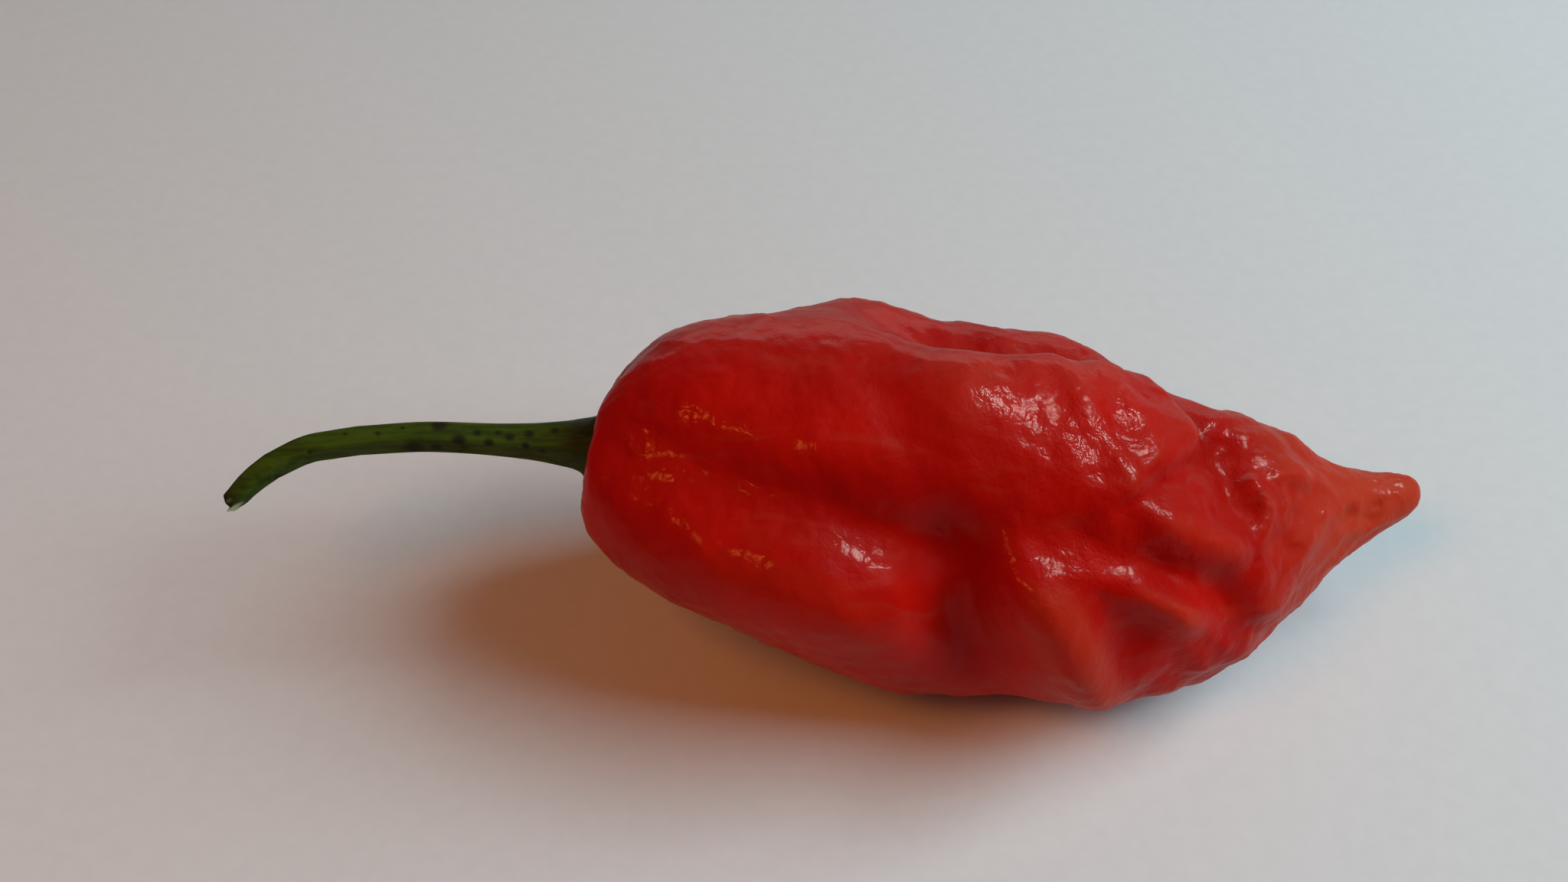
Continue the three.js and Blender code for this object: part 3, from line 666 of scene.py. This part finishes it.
def pod_surface(settings):
    """Rings of points in metres, the relief in millimetres and how crinkled each of them is, from 0 to 1."""
    x, radius, along = even_stations(POD_OUTLINE, settings.stations)
    middle = rows_at(POD_SPINE, x)
    slope_x, slope_radius = np.gradient(x), np.gradient(radius)
    run = np.hypot(slope_x, slope_radius)
    out_x, out_radius = -slope_radius / run, slope_x / run
    angle = np.linspace(0, 360, settings.sides, endpoint=False)
    grid_x, grid_angle = np.meshgrid(x, angle, indexing="ij")
    grid_radius = np.repeat(radius[:, None], settings.sides, 1)
    fade = np.where(x < 0, smooth_step((along - HOLLOW_EDGE) / HOLLOW_FADE), 1)
    fade = fade * np.minimum(radius / TIP_FADE, 1)
    relief = stroke_height(STROKES, grid_x, grid_angle, grid_radius)
    relief += bump_height(grid_x, grid_angle, grid_radius) + nose_height(grid_x, grid_angle)
    relief += wave_height(grid_x, grid_angle, grid_radius)
    relief *= fade[:, None]

    turn = np.radians(grid_angle)

    def raised(height):
        girth = grid_radius + out_radius[:, None] * height
        y = middle[:, 1, None] - POD_DEPTH * girth * np.sin(turn)
        z = middle[:, 2, None] + POD_HEIGHT * girth * np.cos(turn)
        return np.stack([grid_x + out_x[:, None] * height, y, np.maximum(z, 0)], -1)

    crinkled = CRINKLED_LEFT + (1 - CRINKLED_LEFT) * smooth_step((grid_x - CRINKLED_FROM) / CRINKLED_SPAN)
    spots = raised(relief).reshape(-1, 3).tolist()
    fine = crinkle_height(spots, crinkled.ravel(), settings.wrinkle_depth / MM).reshape(relief.shape)
    return raised(relief + fine * fade[:, None]) * MM, relief, crinkled


class CHILLI_OT_pod(bpy.types.Operator):
    """Add the wrinkled red pod in place of its plain solid"""

    bl_idname = "chilli.pod"
    bl_label = "Pod"

    def execute(self, context):
        settings = context.scene.chilli_pod
        rings, relief, crinkled = pod_surface(settings)
        mesh = ring_mesh("red_pod", rings)
        keep_values(mesh, "relief", ring_values(relief))
        keep_values(mesh, "crinkled", ring_values(crinkled))
        low, high = rings[..., 0].min(), rings[..., 0].max()
        keep_values(mesh, "tipward", ring_values((rings[..., 0] - low) / (high - low)))
        pod = place(mesh, skin_material(settings))
        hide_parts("pod")
        return {"FINISHED"}


# Stem and calyx


def stem_side(angle):
    """How far the stem's flat sides and rounded edges stand out at an angle, against a circle."""
    turn = 360 / STEM_SIDES
    middles = [STEM_EDGE_AT + (k + 0.5) * turn for k in range(STEM_SIDES)]
    facing = sum(
        np.maximum(np.cos(np.radians(angle - middle)), 0) ** STEM_EDGE_SHARPNESS for middle in middles)
    return STEM_MEAN * facing ** (-1 / STEM_EDGE_SHARPNESS)


def stem_surface(settings):
    """Rings of points in metres, and how far each is calyx, torn, dried and spotted, from 0 to 1."""
    x, radius, _ = even_stations(STEM_OUTLINE, settings.stations)
    middle = rows_at(STEM_SPINE, x)
    middle[:, 0] = x
    ahead = rows_at(STEM_SPINE, x + SLOPE_STEP) - rows_at(STEM_SPINE, x - SLOPE_STEP)
    ahead[:, 0] = 2 * SLOPE_STEP
    ahead /= np.linalg.norm(ahead, axis=1, keepdims=True)
    up = np.array([0, 0, 1]) - ahead * ahead[:, 2:]
    up /= np.linalg.norm(up, axis=1, keepdims=True)
    side = np.cross(ahead, up)

    angle = np.linspace(0, 360, settings.sides, endpoint=False)
    grid_x, grid_angle = np.meshgrid(x, angle, indexing="ij")
    flat = stem_side(grid_angle)
    edges = np.cos(STEM_SIDES * np.radians(grid_angle - STEM_EDGE_AT))
    tooth = TOOTH_LENGTH * (0.5 + 0.5 * edges) ** 2 * np.exp(-(((grid_x - TOOTH_X) / TOOTH_SPREAD) ** 2))
    along_stem = smooth_step((CALYX_X - grid_x) / CALYX_BLEND)
    grid_radius = radius[:, None] * (1 + along_stem * (flat - 1)) + tooth
    torn = smooth_step((TORN_X - grid_x) / TORN_BLEND)
    inside = np.arange(len(x))[:, None] < np.argmin(x)
    fibres = sum(
        length * np.exp(-((turned(grid_angle - fibre) / width) ** 2))
        for fibre, width, length in TORN_FIBRES)
    reach = torn * fibres * np.minimum(radius[:, None] / FIBRE_RADIUS, 1) ** 3
    curl = 1 - FIBRE_LEAN * np.minimum(reach, 1)
    turn = np.radians(grid_angle)[..., None]
    points = middle[:, None] + (grid_radius * curl)[..., None] * (
        np.cos(turn) * up[:, None] + np.sin(turn) * side[:, None]) - reach[..., None] * ahead[:, None]

    calyx = smooth_step((grid_x - CALYX_COLOUR_X) / CALYX_BLEND)
    dried = np.where(inside, 0, smooth_step((x.min() + DRIED_LENGTH - grid_x) / DRIED_LENGTH))
    pale = np.where(inside, 1, smooth_step((reach - FIBRE_PALE_FROM) / FIBRE_PALE_SPAN))
    spotted = np.zeros(grid_x.shape)
    for spot_x, spot_angle, size in STEM_SPOTS:
        round_way = np.radians(turned(grid_angle - spot_angle)) * radius[:, None]
        away = np.hypot((grid_x - spot_x) * SPOT_STRETCH, round_way) / size
        spotted = np.maximum(spotted, smooth_step(SPOT_EDGE - away))
    return points * MM, {"calyx": calyx, "torn": pale, "dried": dried, "spotted": spotted}


class CHILLI_OT_stem(bpy.types.Operator):
    """Add the green stem with its calyx in place of its plain solid"""

    bl_idname = "chilli.stem"
    bl_label = "Stem and calyx"

    def execute(self, context):
        settings = context.scene.chilli_stem
        rings, shares = stem_surface(settings)
        mesh = ring_mesh("green_stem", rings)
        for name, share in shares.items():
            keep_values(mesh, name, ring_values(share))
        stem = place(mesh, rind_material(settings))
        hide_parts("stem_and_calyx")
        return {"FINISHED"}


# Surface, light and camera


def area_light(name, spot, size, colour, power, left_out):
    data = bpy.data.lights.new(name, "AREA")
    data.shape = "RECTANGLE"
    data.size, data.size_y = size
    data.energy = power
    data.color = colour
    light = bpy.data.objects.new(name, data)
    light.location = spot
    light.rotation_euler = (Vector(LIGHT_AIM) - Vector(spot)).to_track_quat("-Z", "Y").to_euler()
    setattr(light, left_out, False)
    bpy.context.scene.collection.objects.link(light)


CAMERA_AIM = Vector((-12.8, 6.0, 13.0)) * MM
LENS = 40
SENSOR_WIDTH = 36
NEAREST_SEEN = 0.01
SURFACE_HALF = 1.5

COOL = (0.68, 0.91, 1.0)
WARM = (1.0, 0.30, 0.05)
PALE = (1.0, 0.95, 0.86)
LIGHT_AIM = (0, 0, 0.01)

# Lights: name, place, width and height in metres, colour, and the kind of light that it leaves out.
# The strength of each is the setting with its name and "_strength".
LIGHTS = [
    ("window", (0.294, 0.144, 0.426), (0.11, 0.11), PALE, "visible_diffuse"),
    ("lamp", (-0.165, -0.14, 0.312), (0.045, 0.045), WARM, "visible_diffuse"),
    ("bright_wall", (0.39, 0.021, 0.366), (0.38, 0.38), COOL, "visible_glossy"),
    ("warm_wall", (-0.165, -0.14, 0.312), (0.127, 0.127), WARM, "visible_glossy"),
    ("far_wall", (0.1, 0.95, 0.27), (1.1, 0.36), PALE, "visible_diffuse"),
]
ROOM_COLOUR = (0.95, 0.93, 0.92, 1)
ROOM_STRENGTH = 0.05


class CHILLI_OT_stage(bpy.types.Operator):
    """Add the pale surface, the soft light and the camera"""

    bl_idname = "chilli.stage"
    bl_label = "Surface, light and camera"

    def execute(self, context):
        settings = context.scene.chilli_stage
        scene = context.scene
        mesh = bpy.data.meshes.new("pale_surface")
        form = bmesh.new()
        bmesh.ops.create_grid(form, x_segments=1, y_segments=1, size=SURFACE_HALF)
        form.to_mesh(mesh)
        form.free()
        surface = bpy.data.objects.new("pale_surface", mesh)
        mesh.materials.append(surface_material(settings))
        scene.collection.objects.link(surface)

        for name, spot, size, colour, left_out in LIGHTS:
            area_light(name, spot, size, colour, getattr(settings, name + "_strength"), left_out)

        world = bpy.data.worlds.new("soft_room")
        world.use_nodes = True
        world.node_tree.nodes["Background"].inputs["Color"].default_value = ROOM_COLOUR
        world.node_tree.nodes["Background"].inputs["Strength"].default_value = ROOM_STRENGTH
        scene.world = world
        scene.view_settings.view_transform = "Standard"

        data = bpy.data.cameras.new("camera")
        data.lens = LENS
        data.sensor_width = SENSOR_WIDTH
        data.clip_start = NEAREST_SEEN
        camera = bpy.data.objects.new("camera", data)
        up = settings.camera_height
        camera.location = CAMERA_AIM + settings.camera_distance * Vector((0, -math.cos(up), math.sin(up)))
        camera.rotation_euler = (math.pi / 2 - up, 0, 0)
        scene.collection.objects.link(camera)
        scene.camera = camera
        return {"FINISHED"}


class CHILLI_PT_panel(bpy.types.Panel):
    """Lists the pieces of the pepper and its stage"""

    bl_idname = "CHILLI_PT_panel"
    bl_label = "Chilli Pepper"
    bl_space_type = "VIEW_3D"
    bl_region_type = "UI"
    bl_category = "Chilli"

    def draw(self, context):
        for operator in OPERATORS:
            self.layout.operator(operator.bl_idname)


SETTINGS = {
    "chilli_pod": ChilliPodSettings,
    "chilli_stem": ChilliStemSettings,
    "chilli_stage": ChilliStageSettings,
}
OPERATORS = (CHILLI_OT_pod, CHILLI_OT_stem, CHILLI_OT_stage)
CLASSES = (*SETTINGS.values(), *OPERATORS, CHILLI_PT_panel)


def register():
    for kind in CLASSES:
        bpy.utils.register_class(kind)
    for name, kind in SETTINGS.items():
        setattr(bpy.types.Scene, name, PointerProperty(type=kind))


def unregister():
    for name in SETTINGS:
        delattr(bpy.types.Scene, name)
    for kind in reversed(CLASSES):
        bpy.utils.unregister_class(kind)


def main():
    register()
    bpy.ops.chilli.pod()
    bpy.ops.chilli.stem()
    bpy.ops.chilli.stage()


if __name__ == "__main__":
    main()
